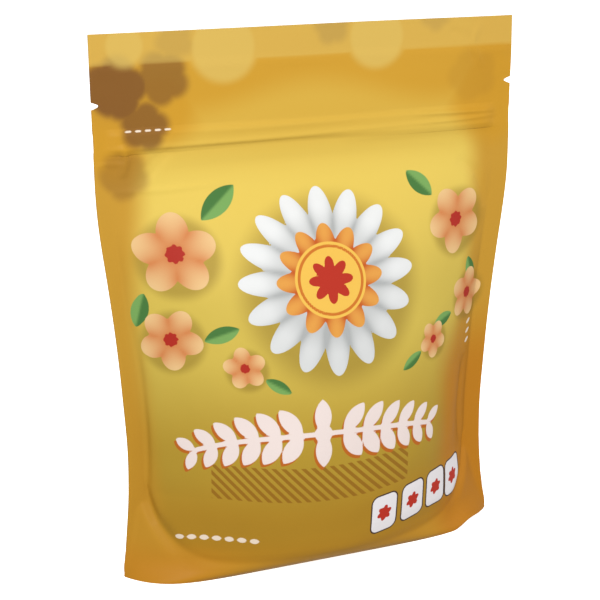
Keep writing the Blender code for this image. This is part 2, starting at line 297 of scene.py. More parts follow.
def lowered(points, line, height):
    """Slide inset points down along the film's lowest row to a height."""
    rise = line[1] - line[0]
    share = (points[..., 2] - height) / rise[..., 2]
    return points - rise * share[..., None]


BASE_ROOM_SIDE = 0.003
BASE_ROOM_TOP = 0.004


def film_grids(creases, seed):
    """Film distance and height, then the outer and inner points of a face that looks to -Y."""
    columns = np.linspace(-HALF_WIDTH, HALF_WIDTH, COLUMNS)
    s, x, depth, z = film_form(film_rows(), columns)
    flat = np.stack([x, -(SEAM_HALF + depth), z], axis=2)
    outer = flat + grid_normals(flat) * film_relief(s, z, creases, seed)[:, :, None]
    room = BASE_ROOM * eased(HALF_WIDTH - seal_width(s) - np.abs(s), 0.0, BASE_ROOM_SIDE)
    room *= 1 - eased(z - base_seal_top(s), 0.0, BASE_ROOM_TOP)
    outer[:, :, 1] = np.minimum(outer[:, :, 1], -SEAM_HALF - room)
    normals = grid_normals(outer)
    inner = outer - normals * FILM_WALL
    inner[:, :, 1] = np.minimum(inner[:, :, 1], -SEAM_CLEARANCE)
    outer[0, :, 2] = z[0]
    inner[0] = lowered(inner[0], outer, z[0])
    for grid in (outer, inner):
        grid[-1, :, 2] = STANDING_HEIGHT
    return s, z, outer, inner


def leaned(grid, s, z):
    """Tip the header back as one with the other face."""
    tipped = grid.copy()
    tipped[:, :, 1] += np.maximum(z - HEADER_START, 0.0) * math.tan(HEADER_LEAN) + header_sway(s, z)
    return tipped


def print_place(s, outer):
    """Print coordinates in millimetres: across from the middle, and up along the film."""
    steps = np.linalg.norm(np.diff(outer, axis=0), axis=2)
    up = np.vstack([np.zeros(outer.shape[1]), np.cumsum(steps, axis=0)])
    return s * 1000, up / up[-1] * PRINT_LENGTH


def grid_faces(grid, turned=False):
    """Four-sided faces between the numbered points of a grid."""
    a, b, c, d = grid[:-1, :-1], grid[:-1, 1:], grid[1:, 1:], grid[1:, :-1]
    corners = (a, d, c, b) if turned else (a, b, c, d)
    return np.stack(corners, axis=2).reshape(-1, 4).tolist()


def film_mesh(name, outer, inner, print_s, print_v, layers, turned):
    """Closed thin shell with a fine outer side, a coarser inner side, a UV map and print layers.

    The inner side has every other row and column, and the second row, which turns over the edge.
    """
    rows, cols = outer.shape[:2]
    row_picks = sorted({*range(0, rows, 2), 1, rows - 1})
    col_picks = sorted({*range(0, cols, 2), cols - 1})
    front = np.arange(rows * cols).reshape(rows, cols)
    back = rows * cols + np.arange(len(row_picks) * len(col_picks))
    back = back.reshape(len(row_picks), len(col_picks))
    faces = grid_faces(front) + grid_faces(back, turned=True)
    for i, (a, b) in enumerate(zip(col_picks[:-1], col_picks[1:])):
        faces.append([*front[0, a:b + 1][::-1].tolist(), int(back[0, i]), int(back[0, i + 1])])
        faces.append([*front[-1, a:b + 1].tolist(), int(back[-1, i + 1]), int(back[-1, i])])
    for i, (a, b) in enumerate(zip(row_picks[:-1], row_picks[1:])):
        faces.append([*front[a:b + 1, 0].tolist(), int(back[i + 1, 0]), int(back[i, 0])])
        faces.append([*front[a:b + 1, -1][::-1].tolist(), int(back[i, -1]), int(back[i + 1, -1])])
    if turned:
        faces = [face[::-1] for face in faces]

    def both(values):
        picked = values[np.ix_(row_picks, col_picks)]
        return np.concatenate([values.reshape(rows * cols, -1), picked.reshape(back.size, -1)])

    points = np.concatenate([
        outer.reshape(-1, 3),
        inner[np.ix_(row_picks, col_picks)].reshape(-1, 3),
    ])
    mesh = bpy.data.meshes.new(name)
    mesh.from_pydata(points.tolist(), [], faces)
    uv = np.hstack([both(print_s / (2000 * HALF_WIDTH) + 0.5), both(print_v / PRINT_LENGTH)])
    corner = np.zeros(len(mesh.loops), dtype=np.int32)
    mesh.loops.foreach_get("vertex_index", corner)
    mesh.uv_layers.new(name="print").data.foreach_set("uv", uv[corner].astype(np.float32).ravel())
    for layer, values in layers.items():
        stored = mesh.attributes.new(layer, "FLOAT", "POINT")
        stored.data.foreach_set("value", both(values).astype(np.float32).ravel())
    mesh.shade_smooth()
    mesh.set_sharp_from_angle(angle=SHARP_ANGLE)
    return mesh


def disc(s, v, centre, radius):
    return radius - np.hypot(s - centre[0], v - centre[1])


def flower(s, v, centre, radius, petals, cut, turn=0.0):
    """Round petals about a centre; the outline draws in between them by the cut."""
    ds, dv = s - centre[0], v - centre[1]
    bloom = np.abs(np.cos(petals * (np.arctan2(dv, ds) - turn) / 2))
    return radius * (1 - cut * (1 - bloom)) - np.hypot(ds, dv)


def leaf(s, v, root, length, width, turn):
    """Pointed leaf that grows from its root at an angle: where two discs overlap."""
    along = (s - root[0]) * math.cos(turn) + (v - root[1]) * math.sin(turn) - length / 2
    across = (v - root[1]) * math.cos(turn) - (s - root[0]) * math.sin(turn)
    radius = (length ** 2 + width ** 2) / (4 * width)
    off = radius - width / 2
    return radius - np.maximum(np.hypot(along, across - off), np.hypot(along, across + off))


def tile(s, v, centre, half_width, half_height, corner):
    gap_s = np.abs(s - centre[0]) - half_width + corner
    gap_v = np.abs(v - centre[1]) - half_height + corner
    out = np.hypot(np.maximum(gap_s, 0.0), np.maximum(gap_v, 0.0))
    return corner - out - np.minimum(np.maximum(gap_s, gap_v), 0.0)


def garland(s, v):
    """Leaf garland on an arched stem, whose pairs of leaves lean away from its middle."""
    centre, radius, spread, pairs = (-8.0, -92.0), 155.0, 0.315, 13
    length, width, lean = 13.0, 6.4, math.radians(38)
    ds, dv = s - centre[0], v - centre[1]
    turn = np.arctan2(ds, dv)
    drawn = np.minimum(0.9 - np.abs(np.hypot(ds, dv) - radius), (spread - np.abs(turn)) * radius)
    for at in np.linspace(-spread, spread, pairs):
        root = (centre[0] + radius * math.sin(at), centre[1] + radius * math.cos(at))
        size = 1 - 0.35 * abs(at / spread) ** 2
        way = math.copysign(1.0, at) if at else 0.0
        for side in (-1, 1):
            grows = side * math.pi / 2 - at - side * way * lean
            drawn = np.maximum(drawn, leaf(s, v, root, length * size, width * size, grows))
    return np.maximum(drawn, disc(s, v, (centre[0], centre[1] + radius), 3.4))


# The print's shapes, in millimetres across from the middle and up along the film. A blossom has
# a place, a radius and a turn, and a leaf a root, a length, a width and a turn.
BLOSSOMS = (
    ((-57.0, 131.0), 15.5, 0.3), ((-62.0, 99.0), 12.0, 1.0), ((58.0, 133.0), 13.5, 0.8),
    ((67.0, 101.0), 10.5, 0.1), ((-36.0, 88.0), 8.0, 0.5), ((44.0, 88.0), 7.5, 0.9),
)
LEAVES = (
    ((-46.0, 143.0), 19.0, 8.0, 0.75), ((-70.0, 117.0), 14.0, 6.5, -1.9),
    ((-50.0, 98.0), 14.0, 6.0, 0.35), ((47.0, 144.0), 15.0, 7.0, 2.3),
    ((66.0, 116.0), 13.0, 6.0, -1.2), ((56.0, 96.0), 12.0, 5.0, 3.4),
    ((-29.0, 84.0), 11.0, 4.6, -0.5), ((37.0, 85.0), 11.0, 4.6, 3.6),
)
DAISY = (-1.0, 119.0)
DAISY_RADIUS = 35.0
TILES = ((18.4, 25.2), (32.6, 25.2), (46.4, 25.2), (59.2, 25.2))
TILE_SHAPE = (6.2, 8.2, 3.2)
HATCH_CENTRE = (-10.5, 43.2)
HATCH_SHAPE = (39.5, 6.9, 0.3)
# Rows of small marks: the first one's place, the step to the next, their number and their shape.
LEAF_MARKS = (
    ((-64.0, 19.5), (4.7, 0.0), 7, (3.9, 2.2, 0.0)),
    ((69.0, 79.0), (0.0, 4.0), 3, (4.2, 1.6, 0.5)),
)
DASH_MARKS = ((-70.0, 177.5), (3.6, 0.0), 5, (1.2, 0.38, 0.3))
NOWHERE = -99.0


def front_print(s, v):
    """Signed distances in millimetres, above 0 inside each printed shape, and soft tones."""
    leaves = np.full_like(s, NOWHERE)
    leaf_tone = np.zeros_like(s)
    for root, length, width, turn in LEAVES:
        here = leaf(s, v, root, length, width, turn)
        across = (v - root[1]) * math.cos(turn) - (s - root[0]) * math.sin(turn)
        leaf_tone = np.where(here > leaves, eased(across, -0.6, 0.6), leaf_tone)
        leaves = np.maximum(leaves, here)
    blossoms = np.full_like(s, NOWHERE)
    hearts = np.full_like(s, NOWHERE)
    blossom_tone = np.zeros_like(s)
    for centre, radius, turn in BLOSSOMS:
        here = flower(s, v, centre, radius, 5, 0.36, turn)
        away = np.hypot(s - centre[0], v - centre[1]) / radius
        gaps = 1 - np.abs(np.cos(2.5 * (np.arctan2(v - centre[1], s - centre[0]) - turn)))
        tone = np.clip(1.1 * (1 - away) ** 1.3 + 0.55 * gaps * eased(away, 0.2, 0.7), 0.0, 1.0)
        blossom_tone = np.where(here > blossoms, tone, blossom_tone)
        blossoms = np.maximum(blossoms, here)
        hearts = np.maximum(hearts, flower(s, v, centre, 0.24 * radius, 8, 0.25))
    ds, dv = s - DAISY[0], v - DAISY[1]
    away = np.hypot(ds, dv) / DAISY_RADIUS
    gaps = 1 - np.abs(np.cos(8 * np.arctan2(dv, ds)))
    daisy_tone = np.clip(0.75 * gaps ** 1.5 + 0.5 * eased(away, 0.8, 0.5), 0.0, 1.0)
    daisy_tone = np.clip(daisy_tone + 0.35 * eased(-dv, -6.0, 34.0), 0.0, 1.0)
    ring_tone = 1 - np.abs(np.cos(6 * np.arctan2(dv, ds))) + 0.4 * eased(away, 0.5, 0.3)
    shade = np.zeros_like(s)
    for centre, radius, _ in (*BLOSSOMS, (DAISY, DAISY_RADIUS, 0.0)):
        below = np.hypot(s - centre[0] - 0.8, v - centre[1] + 0.10 * radius)
        shade = np.maximum(shade, 1 - eased(below, 0.80 * radius, 1.16 * radius))
    tiles = np.maximum.reduce([tile(s, v, centre, *TILE_SHAPE) for centre in TILES])
    buds = np.maximum.reduce([flower(s, v, centre, 3.4, 6, 0.4, 0.3) for centre in TILES])
    marks = np.full_like(s, NOWHERE)
    rows = [(leaf, *row) for row in LEAF_MARKS] + [(tile, *DASH_MARKS)]
    for mark, first, step, count, shape in rows:
        for number in range(count):
            place = (first[0] + step[0] * number, first[1] + step[1] * number)
            marks = np.maximum(marks, mark(s, v, place, *shape))
    return {
        "shade": shade,
        "leaves": leaves,
        "leaf_tone": leaf_tone,
        "blossoms": blossoms,
        "blossom_tone": blossom_tone,
        "hearts": hearts,
        "daisy": flower(s, v, DAISY, DAISY_RADIUS, 16, 0.30),
        "daisy_tone": daisy_tone,
        "ring": flower(s, v, DAISY, 0.60 * DAISY_RADIUS, 12, 0.30),
        "ring_tone": np.clip(ring_tone, 0.0, 1.0),
        "daisy_disc": disc(s, v, DAISY, 0.40 * DAISY_RADIUS),
        "daisy_rim": 0.55 - np.abs(disc(s, v, DAISY, 0.355 * DAISY_RADIUS)),
        "daisy_star": flower(s, v, DAISY, 0.25 * DAISY_RADIUS, 8, 0.45),
        "hatch": tile(s, v, HATCH_CENTRE, *HATCH_SHAPE),
        "garland": garland(s, v),
        "garland_drop": garland(s + 0.8, v + 1.1),
        "tiles": tiles,
        "buds": buds,
        "marks": marks,
    }


DARK_BLOOMS = (
    ((-74.0, 193.0), 12.5, 1.0), ((-57.0, 196.0), 10.5, 0.8), ((-64.0, 179.0), 9.5, 0.9),
    ((-72.0, 161.0), 9.5, 0.45), ((-52.0, 209.0), 7.5, 0.45), ((8.0, 212.0), 7.5, 0.6),
    ((50.0, 214.0), 6.5, 0.5), ((66.0, 190.0), 11.0, 0.12),
)
OCHRE_DISCS = (((-76.0, 170.0), 13.0), ((76.0, 182.0), 22.0), ((-58.0, 186.0), 17.0))
PALE_DISCS = (((-70.0, 208.0), 8.0), ((-34.0, 206.0), 13.0), ((26.0, 207.0), 12.0))
# Heights where the pale band over the top seal begins: a painted sheen.
SEAL_SHEEN_BAND = (201.2, 202.2)


def header_haze(s, v):
    """Soft print in the header: ochre haze, brown blooms and pale discs, and a pale band over the
    top seal that is painted sheen.
    """
    ochre = 0.85 * eased(v - 5.0 * np.cos(s / 17.0), 181.0, 194.0)
    for centre, radius in OCHRE_DISCS:
        ochre = np.maximum(ochre, eased(disc(s, v, centre, radius), -3.0, 9.0))
    dark = np.zeros_like(s)
    for centre, radius, strength in DARK_BLOOMS:
        bloom = flower(s, v, centre, radius, 5, 0.16, centre[0])
        dark = np.maximum(dark, strength * eased(bloom, -1.6, 2.4))
    # Painted sheen: the top seal is paler from this height up.
    pale = 0.6 * eased(v, *SEAL_SHEEN_BAND)
    for centre, radius in PALE_DISCS:
        pale = np.maximum(pale, 0.95 * eased(disc(s, v, centre, radius), -1.5, 2.5))
    return {"haze_ochre": ochre, "haze_dark": dark, "haze_pale_and_seal_sheen": pale}


LEFT_WARMTH = (
    (0.0, 70.0), (40.0, 72.0), (75.0, 74.0), (110.0, 73.5), (150.0, 67.0), (212.0, 66.0),
)
# On the right the orange starts further in low down, which paints the shade of that side.
RIGHT_WARMTH_AND_SHADE = (
    (0.0, 60.0), (25.0, 54.0), (70.0, 56.0), (110.0, 65.0), (150.0, 67.0), (212.0, 66.0),
)
WARMTH_SOFTNESS = 6.0
WARM_BAND_EDGE = (-0.0012, 0.0016)


def warmth_and_shade(s, v, z):
    """1 where the print turns orange: both sides, and the sealed band and corners at the base. On
    the low right side it starts further in, as painted shade.
    """
    start = np.where(s > 0, smooth_values(RIGHT_WARMTH_AND_SHADE, v), smooth_values(LEFT_WARMTH, v))
    sides = eased(np.abs(s) * 1000 - start, -WARMTH_SOFTNESS, WARMTH_SOFTNESS)
    band = 1 - eased(z - base_seal_top(s), *WARM_BAND_EDGE)
    return np.maximum(sides, band)


def amber_shade(s, v):
    """Share of a deeper orange that paints shade: on the low right side and at the lower left."""
    right = eased(s, 0.042, 0.058) * (1 - eased(v, 66.0, 100.0))
    left = 0.6 * eased(-s, 0.030, 0.060) * (1 - eased(v, 4.0, 20.0))
    return np.maximum(right, left)


def paint(red, green, blue):
    """A colour given as it is seen, from 0 to 255, in the renderer's linear light."""
    seen = np.array([red, green, blue]) / 255
    light = np.where(seen <= 0.04045, seen / 12.92, ((seen + 0.055) / 1.055) ** 2.4)
    return (*light.tolist(), 1.0)


def add_node(tree, kind, wires=(), **settings):
    """Add a node, set its properties, and fill its sockets with values or other nodes' outputs."""
    made = tree.nodes.new(kind)
    for name, value in settings.items():
        setattr(made, name, value)
    for key, value in dict(wires).items():
        if isinstance(value, bpy.types.NodeSocket):
            tree.links.new(value, made.inputs[key])
        else:
            made.inputs[key].default_value = value
    return made


def attribute(tree, name):
    return add_node(tree, "ShaderNodeAttribute", attribute_name=name).outputs["Fac"]


def texture_place(tree):
    return add_node(tree, "ShaderNodeTexCoord").outputs["Object"]


def blended(tree, share, below, above):
    """Mix two colours, given as values or sockets."""
    mix = add_node(tree, "ShaderNodeMix", {0: share, 6: below, 7: above}, data_type="RGBA")
    return mix.outputs[2]


def stepped(tree, value, start, end):
    """Soft step from 0 to 1 between two values of a socket."""
    wires = {"Value": value, "From Min": start, "From Max": end}
    return add_node(tree, "ShaderNodeMapRange", wires, interpolation_type="SMOOTHSTEP").outputs[0]


def computed(tree, operation, first, second=0.0):
    return add_node(tree, "ShaderNodeMath", {0: first, 1: second}, operation=operation).outputs[0]


def printed(tree, layer):
    """1 inside a printed shape and 0 outside, with a crisp but soft edge."""
    return stepped(tree, attribute(tree, layer), -PRINT_EDGE, PRINT_EDGE)


def stripes(tree, height, outer, inner):
    """1 along the middle of each whole step of a socket, and 0 between."""
    phase = computed(tree, "FRACT", height)
    off = computed(tree, "ABSOLUTE", computed(tree, "SUBTRACT", phase, 0.5))
    return stepped(tree, off, outer, inner)


def new_material(name):
    made = bpy.data.materials.new(name)
    made.use_nodes = True
    return made, made.node_tree, made.node_tree.nodes["Principled BSDF"]


# Print colours up the film; the darker olive low down also paints shade above the base band.
FIELD_COLOURS_AND_SHADE = (
    (0.00, paint(190, 132, 30)), (0.12, paint(175, 132, 37)), (0.24, paint(181, 148, 50)),
    (0.47, paint(212, 186, 82)), (0.72, paint(229, 199, 92)), (0.86, paint(216, 174, 68)),
    (1.00, paint(213, 172, 72)),
)
EDGE_ORANGE = paint(196, 142, 42)
# Painted shade: a deeper orange for the low right side and the lower left.
AMBER_SHADE = paint(190, 116, 20)
WARMTH_STRENGTH = 0.85
AMBER_STRENGTH = 0.66
SHADE_STRENGTH = 0.55
HATCH_STRENGTH = 0.8
HATCH_PERIOD = 3.7
HATCH_EDGE = 0.2
HATCH_LINE = (0.27, 0.23)
TILE_RIM = (0.45, 0.75)
PRINT_EDGE = 0.16
INK_WEIGHT = 0.70
FILM_GLOSS = (0.44, 0.54)


def field_colour_and_shade(tree):
    """The film's ground colour with painted shade: golden yellow, olive below, orange to both sides
    and a deeper orange. The darker olive low down, and the orange and deeper orange on the low right
    and lower left, are partly painted shade.
    """
    uv = add_node(tree, "ShaderNodeUVMap", uv_map="print").outputs[0]
    place = add_node(tree, "ShaderNodeSeparateXYZ", {0: uv})
    ramp = add_node(tree, "ShaderNodeValToRGB", {0: place.outputs["Y"]})
    ramp.color_ramp.interpolation = "EASE"
    stops = ramp.color_ramp.elements
    while len(stops) < len(FIELD_COLOURS_AND_SHADE):
        stops.new(0.5)
    for stop, (at, colour) in zip(stops, FIELD_COLOURS_AND_SHADE):
        stop.position = at
        stop.color = colour
    warm = computed(tree, "MULTIPLY", attribute(tree, "warmth_and_shade"), WARMTH_STRENGTH)
    colour = blended(tree, warm, ramp.outputs["Color"], EDGE_ORANGE)
    # Painted shade: a deeper orange on the low right side and the lower left.
    deep = computed(tree, "MULTIPLY", attribute(tree, "amber_shade"), AMBER_STRENGTH)
    return place, blended(tree, deep, colour, AMBER_SHADE)


def film_finish(tree, shader, colour):
    """Satin laminate: even gloss, faint cloudiness and a fine rumple."""
    place = texture_place(tree)
    cloud = add_node(tree, "ShaderNodeTexNoise", {"Vector": place, "Scale": 55.0, "Detail": 3.0})
    wires = {
        "Value": cloud.outputs[0], "From Min": 0.3, "From Max": 0.7,
        "To Min": FILM_GLOSS[0], "To Max": FILM_GLOSS[1],
    }
    gloss = add_node(tree, "ShaderNodeMapRange", wires).outputs[0]
    rumple = add_node(tree, "ShaderNodeTexNoise", {"Vector": place, "Scale": 210.0, "Detail": 2.0})
    wires = {"Height": rumple.outputs[0], "Strength": 0.10, "Distance": 0.0004}
    bump = add_node(tree, "ShaderNodeBump", wires).outputs[0]
    wires = {"Color": colour, "Value": INK_WEIGHT}
    deep = add_node(tree, "ShaderNodeHueSaturation", wires).outputs[0]
    tree.links.new(deep, shader.inputs["Base Color"])
    tree.links.new(gloss, shader.inputs["Roughness"])
    tree.links.new(bump, shader.inputs["Normal"])
    shader.inputs["IOR"].default_value = 1.33
    shader.inputs["Specular IOR Level"].default_value = 0.18


def hazed(tree, colour):
    """Lay the header's soft discs, and the painted sheen of the top seal, over the ground colour."""
    for layer, tint, strength in (
        ("haze_ochre", paint(206, 152, 42), 0.90),
        ("haze_dark", paint(118, 74, 40), 0.85),
        # The pale layer holds printed discs and the painted sheen of the top seal.
        ("haze_pale_and_seal_sheen", paint(220, 188, 98), 0.80),
    ):
        share = computed(tree, "MULTIPLY", attribute(tree, layer), strength)
        colour = blended(tree, share, colour, tint)
    return colour


def front_film_material():
    made, tree, shader = new_material("printed film, front")
    place, colour = field_colour_and_shade(tree)
    colour = hazed(tree, colour)
    share = computed(tree, "MULTIPLY", attribute(tree, "shade"), SHADE_STRENGTH)
    colour = blended(tree, share, colour, paint(140, 112, 40))
    slope = computed(tree, "MULTIPLY", place.outputs["X"], 2000 * HALF_WIDTH / HATCH_PERIOD)
    rise = computed(tree, "MULTIPLY", place.outputs["Y"], PRINT_LENGTH / HATCH_PERIOD)
    line = stripes(tree, computed(tree, "ADD", slope, rise), *HATCH_LINE)
    inside = stepped(tree, attribute(tree, "hatch"), -HATCH_EDGE, HATCH_EDGE)
    hatch = computed(tree, "MULTIPLY", inside, line)
    hatch = computed(tree, "MULTIPLY", hatch, HATCH_STRENGTH)
    colour = blended(tree, hatch, colour, paint(146, 98, 26))
    for layer, tone, light, dark in (
        ("leaves", "leaf_tone", paint(122, 168, 92), paint(74, 122, 62)),
        ("blossoms", "blossom_tone", paint(236, 196, 138), paint(206, 112, 52)),
        ("hearts", None, paint(178, 46, 34), None),
        ("daisy", "daisy_tone", paint(234, 235, 234), paint(176, 178, 177)),
        ("ring", "ring_tone", paint(228, 160, 74), paint(196, 92, 38)),
        ("daisy_disc", None, paint(240, 192, 84), None),
        ("daisy_rim", None, paint(206, 118, 44), None),
        ("daisy_star", None, paint(186, 52, 36), None),
        ("garland_drop", None, paint(190, 104, 34), None),
        ("garland", None, paint(240, 224, 218), None),
    ):
        tint = light if tone is None else blended(tree, attribute(tree, tone), light, dark)
        colour = blended(tree, printed(tree, layer), colour, tint)
    colour = blended(tree, printed(tree, "tiles"), colour, paint(66, 46, 40))
    within = stepped(tree, attribute(tree, "tiles"), *TILE_RIM)
    colour = blended(tree, within, colour, paint(240, 235, 236))
    colour = blended(tree, printed(tree, "buds"), colour, paint(192, 52, 36))
    colour = blended(tree, printed(tree, "marks"), colour, paint(240, 222, 200))
    film_finish(tree, shader, colour)
    return made


# A crease has its points, across and up, its width, and how far it stands out or sinks.
FRONT_CREASES = (
    (
        ((-0.080, 0.1632), (-0.030, 0.1633), (0.020, 0.1641), (0.060, 0.1649), (0.076, 0.1657)),
        0.0009, 0.00034,
    ),
    (((0.042, 0.1645), (0.060, 0.1649), (0.077, 0.1657)), 0.0008, 0.00030),
    (((0.040, 0.1680), (0.060, 0.1677), (0.0775, 0.1674)), 0.0008, 0.00045),
    (((-0.048, 0.1674), (-0.020, 0.1674), (0.020, 0.1678)), 0.0010, 0.00022),
    (((-0.060, 0.1622), (-0.030, 0.1622), (0.010, 0.1624)), 0.0007, -0.00016),
    (((0.010, 0.1612), (0.045, 0.1616), (0.0790, 0.1618)), 0.0019, 0.00060),
    (((-0.0825, 0.1580), (-0.0780, 0.1582), (-0.0715, 0.1578)), 0.0007, 0.00035),
    (((-0.0770, 0.1480), (-0.0580, 0.1478), (-0.0340, 0.1486)), 0.0009, 0.00040),
    (((-0.0725, 0.1530), (-0.0712, 0.1590), (-0.0722, 0.1650)), 0.0015, 0.00090),
    (((-0.0670, 0.1500), (-0.0600, 0.1580), (-0.0540, 0.1620)), 0.0020, -0.00060),
    (((0.0560, 0.1985), (0.0640, 0.1955), (0.0665, 0.1860)), 0.0012, -0.00045),
    (((0.0690, 0.2010), (0.0650, 0.1930), (0.0700, 0.1840)), 0.0014, 0.00040),
    (((0.0600, 0.1500), (0.0680, 0.1440), (0.0740, 0.1300)), 0.0022, -0.00070),
    (((0.0705, 0.0330), (0.0672, 0.0520), (0.0690, 0.0720)), 0.0026, -0.00120),
    (((0.0610, 0.0300), (0.0590, 0.0500), (0.0620, 0.0700)), 0.0050, 0.00060),
    (((-0.0715, 0.0215), (-0.0757, 0.0350), (-0.0752, 0.0600), (-0.0755, 0.1000)), 0.0018, -0.00120),
)


def placed(name, data):
    """An object of a mesh, lamp or camera, linked to the scene."""
    made = bpy.data.objects.new(name, data)
    bpy.context.collection.objects.link(made)
    return made


film_s, film_z, front_outer, front_inner = film_grids(FRONT_CREASES, FRONT_SEED)
print_s, print_v = print_place(film_s, front_outer)
front_mesh = film_mesh(
    "front_film",
    leaned(front_outer, film_s, film_z),
    leaned(front_inner, film_s, film_z),
    print_s,
    print_v,
    {
        **front_print(print_s, print_v),
        **header_haze(print_s, print_v),
        # The orange side layer is print, and painted shade on the low right side; the deeper orange
        # layer is painted shade.
        "warmth_and_shade": warmth_and_shade(film_s, print_v, film_z),
        "amber_shade": amber_shade(film_s, print_v),
    },
    False,
)
front_film = placed("front_film", front_mesh)
front_mesh.materials.append(front_film_material())
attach(front_film, "root")
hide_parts("front_face")

# Back face: the same laminate, cut and sealed with the front one. It mirrors the front's form,
# with rumples of its own, and its print is plain but for an empty ruled panel.
BACK_CREASES = (
    (((-0.0745, 0.1626), (0.020, 0.1625), (0.080, 0.1626)), 0.0008, -0.00036),
    (((0.0700, 0.1590), (0.0712, 0.1655), (0.0700, 0.1720)), 0.0020, 0.00034),
    (((-0.0700, 0.1500), (-0.0500, 0.1470), (-0.0260, 0.1480)), 0.0014, 0.00030),
    (((0.0300, 0.1500), (0.0520, 0.1440), (0.0700, 0.1330)), 0.0022, -0.00040),
    (((-0.0560, 0.0280), (-0.0600, 0.0500), (-0.0640, 0.0740)), 0.0030, -0.00060),
    (((0.0600, 0.0240), (0.0660, 0.0440), (0.0680, 0.0700)), 0.0028, -0.00050),
)
BACK_SEED = 21
PANEL_CENTRE = (0.0, 92.0)
PANEL_HALF = (44.0, 56.0)
PANEL_CORNER = 4.0
PANEL_MARGIN = (6.0, 7.0)
PANEL_RIM = (0.5, 0.8)
RULE_STEP = 10.9
RULE_SHIFT = 0.05963
RULE_LINE = (0.044, 0.030)


def back_print(s, v):
    """An empty cream panel, the ruled part of it, the blooms that continue over the header, and the
    painted sheen of the top seal.
    """
    panel = tile(s, v, PANEL_CENTRE, *PANEL_HALF, PANEL_CORNER)
    half_width, half_height = np.subtract(PANEL_HALF, PANEL_MARGIN)
    ruled = tile(s, v, PANEL_CENTRE, half_width, half_height, 0.3)
    return {"panel": panel, "ruled": ruled, **header_haze(s, v)}


def back_film_material():
    made, tree, shader = new_material("printed film, back")
    place, colour = field_colour_and_shade(tree)
    colour = hazed(tree, colour)
    colour = blended(tree, printed(tree, "panel"), colour, paint(150, 100, 34))
    within = stepped(tree, attribute(tree, "panel"), *PANEL_RIM)
    colour = blended(tree, within, colour, paint(240, 226, 196))
    rise = computed(tree, "MULTIPLY", place.outputs["Y"], PRINT_LENGTH / RULE_STEP)
    rule = stripes(tree, computed(tree, "ADD", rise, RULE_SHIFT), *RULE_LINE)
    share = computed(tree, "MULTIPLY", printed(tree, "ruled"), rule)
    colour = blended(tree, share, colour, paint(178, 130, 62))
    film_finish(tree, shader, colour)
    return made


mirror = np.array([1.0, -1.0, 1.0])
film_s, film_z, back_outer, back_inner = film_grids(BACK_CREASES, BACK_SEED)
print_s, print_v = print_place(film_s, back_outer)
back_mesh = film_mesh(
    "back_film",
    leaned(back_outer * mirror, film_s, film_z),
    leaned(back_inner * mirror, film_s, film_z),
    -print_s,
    print_v,
    {
        **back_print(print_s, print_v),
        # The orange side layer is print, and painted shade on the low right side; the deeper orange
        # layer is painted shade.
        "warmth_and_shade": warmth_and_shade(film_s, print_v, film_z),
        "amber_shade": amber_shade(film_s, print_v),
    },
    True,
)
back_film = placed("back_film", back_mesh)
back_mesh.materials.append(back_film_material())
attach(back_film, "root")
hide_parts("back_face")

# Base film: a third strip of laminate, folded upwards between the faces and sealed inside their
# lower edges. The fruit presses it down, so it is boat-shaped and touches the floor in the middle.
BASE_REACH = 0.965
BASE_HEM = 0.0004
BASE_BAND_POINTS = 31
BASE_SAG_POINTS = 13
BASE_SAG_CURVE = 2.2
BASE_GAP = 0.00016
KEEL_FLAT = 0.030
KEEL_END = 0.072
KEEL_RISE = 0.028
KEEL_CURVE = 3.0


def base_profile(column, outer_pair, normal_pair):
    """One column of the base film's underside, from the front hem over the keel to the back hem.

    The underside of the sealed bands looks inwards, so the film's wall lies between it and the face.
    """
    s = film_s[0, column]
    top = float(base_seal_top(s))
    share = max(abs(s) - KEEL_FLAT, 0.0) / (KEEL_END - KEEL_FLAT)
    keel = min(KEEL_RISE * share ** KEEL_CURVE, BASE_SEAL_RISE)
    halves = []
    for outer, normals in zip(outer_pair, normal_pair):
        line, way = outer[:, column], normals[:, column]
        hem = line[0, 2] + BASE_HEM
        heights = np.linspace(hem, top, BASE_BAND_POINTS)
        band = np.stack([np.interp(heights, line[:, 2], line[:, i]) for i in range(3)], axis=1)
        turn = np.stack([np.interp(heights, line[:, 2], way[:, i]) for i in range(3)], axis=1)
        band -= turn * (2 * FILM_WALL + BASE_GAP)
        band[0] = lowered(band[0], line, hem)
        inward = np.linspace(1.0, 0.0, BASE_SAG_POINTS + 1)[1:]
        sag = np.repeat(band[-1:], BASE_SAG_POINTS, axis=0)
        sag[:, 1] *= inward
        sag[:, 2] = keel + (band[-1, 2] - keel) * inward ** BASE_SAG_CURVE
        halves.append(np.concatenate([band, sag]))
    return np.concatenate([halves[0], halves[1][-2::-1]])


def fold_directions(grid):
    """The way along each profile, as the mean of the unit steps before and after a point."""
    steps = np.diff(grid, axis=1)
    steps /= np.linalg.norm(steps, axis=2, keepdims=True)
    before = np.concatenate([steps[:, :1], steps], axis=1)
    after = np.concatenate([steps, steps[:, -1:]], axis=1)
    return before + after


